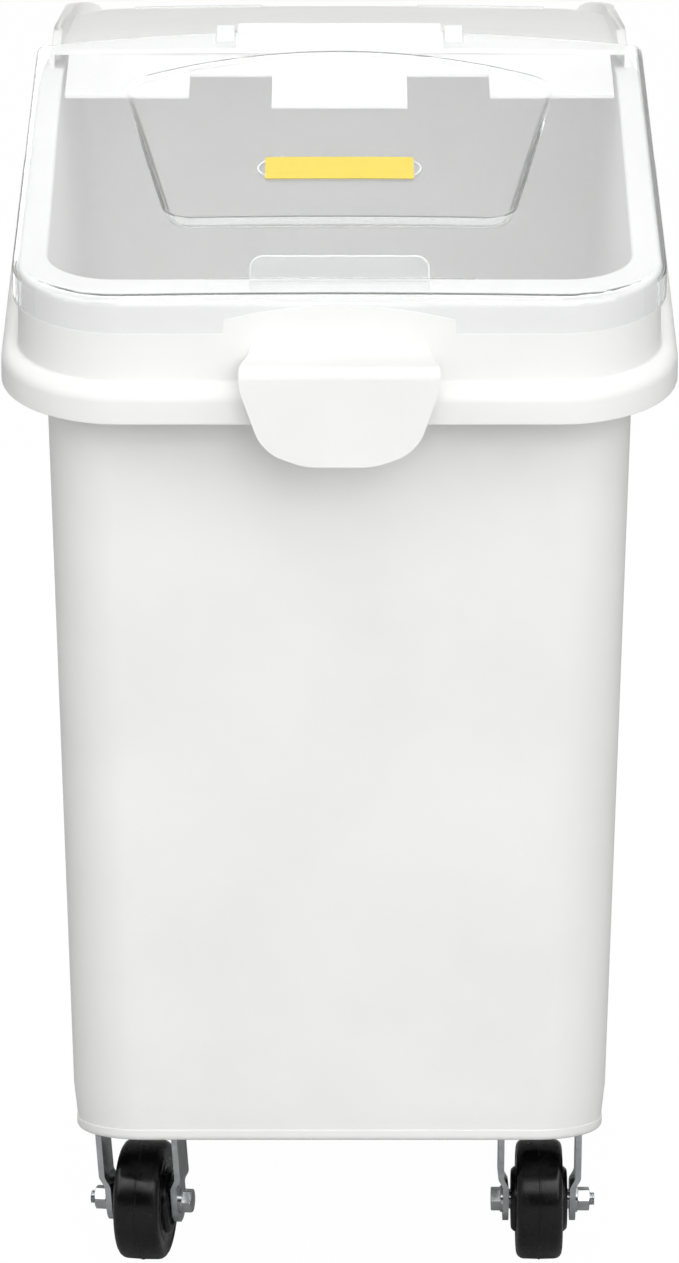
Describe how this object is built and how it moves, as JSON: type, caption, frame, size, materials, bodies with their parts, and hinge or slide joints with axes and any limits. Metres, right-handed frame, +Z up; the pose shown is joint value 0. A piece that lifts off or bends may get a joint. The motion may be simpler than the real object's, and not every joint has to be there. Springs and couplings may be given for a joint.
{
  "type": "rolling ingredient bin",
  "caption": "Tall white tub on casters with a sloped mouth, a clear hinged front lid with a recessed panel, a fixed rear lid and a tongue handle, for storing dry ingredients.",
  "frame": {"origin": "on the floor under the middle of the bin's bounding box", "axes": "+Z up, +Y towards the back of the bin, front with the tongue handle towards -Y"},
  "size_m": [0.394, 0.749, 0.7178],
  "materials": {
    "white_polyethylene": "moulded satin",
    "white_polypropylene": "moulded satin",
    "clear_plastic": "clear gloss",
    "label": "printed film",
    "steel": "ground",
    "zinc_steel": "bright zinc plated",
    "black_plastic": "moulded gloss",
    "black_rubber": "moulded gloss"
  },
  "bodies": {
    "bin": {"tub": "white_polyethylene", "rear_lid": "white_polypropylene", "hinge_pin": "steel", "front_left_top_plate": "zinc_steel", "front_left_kingpin": "zinc_steel", "front_left_plate_bolts": "zinc_steel", "rear_left_bracket": "zinc_steel", "rear_left_plate_bolts": "zinc_steel", "rear_left_axle_bolt": "zinc_steel", "rear_left_axle_nut": "zinc_steel", "rear_left_axle_sleeve": "steel", "rear_left_axle_washers": "zinc_steel", "front_right_top_plate": "zinc_steel", "front_right_kingpin": "zinc_steel", "front_right_plate_bolts": "zinc_steel", "rear_right_bracket": "zinc_steel", "rear_right_plate_bolts": "zinc_steel", "rear_right_axle_bolt": "zinc_steel", "rear_right_axle_nut": "zinc_steel", "rear_right_axle_sleeve": "steel", "rear_right_axle_washers": "zinc_steel"},
    "front_lid": {"front_lid": "clear_plastic", "label": "label"},
    "front_left_swivel": {"front_left_fork": "zinc_steel", "front_left_balls": "steel", "front_left_axle_bolt": "zinc_steel", "front_left_axle_nut": "zinc_steel", "front_left_axle_sleeve": "steel", "front_left_axle_washers": "zinc_steel"},
    "front_left_wheel": {"front_left_hub": "black_plastic", "front_left_tyre": "black_rubber"},
    "rear_left_wheel": {"rear_left_hub": "black_plastic", "rear_left_tyre": "black_rubber"},
    "front_right_swivel": {"front_right_fork": "zinc_steel", "front_right_balls": "steel", "front_right_axle_bolt": "zinc_steel", "front_right_axle_nut": "zinc_steel", "front_right_axle_sleeve": "steel", "front_right_axle_washers": "zinc_steel"},
    "front_right_wheel": {"front_right_hub": "black_plastic", "front_right_tyre": "black_rubber"},
    "rear_right_wheel": {"rear_right_hub": "black_plastic", "rear_right_tyre": "black_rubber"}
  },
  "joints": [
    {"name": "lid_hinge", "type": "hinge", "parent": "bin", "child": "front_lid", "pos_m": [0, 0.0715, 0.71031], "axis": [-1, 0, 0], "range_deg": [0, 160]},
    {"name": "front_left_caster_swivel", "type": "hinge", "parent": "bin", "child": "front_left_swivel", "pos_m": [-0.1195, -0.2625, 0.095], "axis": [0, 0, 1], "continuous": true},
    {"name": "front_left_wheel_spin", "type": "hinge", "parent": "front_left_swivel", "child": "front_left_wheel", "pos_m": [-0.11603, -0.2428, 0.0365], "axis": [0.9848, -0.1736, 0], "continuous": true},
    {"name": "rear_left_wheel_spin", "type": "hinge", "parent": "bin", "child": "rear_left_wheel", "pos_m": [-0.1195, 0.2865, 0.0365], "axis": [1, 0, 0], "continuous": true},
    {"name": "front_right_caster_swivel", "type": "hinge", "parent": "bin", "child": "front_right_swivel", "pos_m": [0.1195, -0.2625, 0.095], "axis": [0, 0, 1], "continuous": true},
    {"name": "front_right_wheel_spin", "type": "hinge", "parent": "front_right_swivel", "child": "front_right_wheel", "pos_m": [0.1195, -0.2425, 0.0365], "axis": [1, 0, 0], "continuous": true},
    {"name": "rear_right_wheel_spin", "type": "hinge", "parent": "bin", "child": "rear_right_wheel", "pos_m": [0.1195, 0.2865, 0.0365], "axis": [1, 0, 0], "continuous": true}
  ]
}
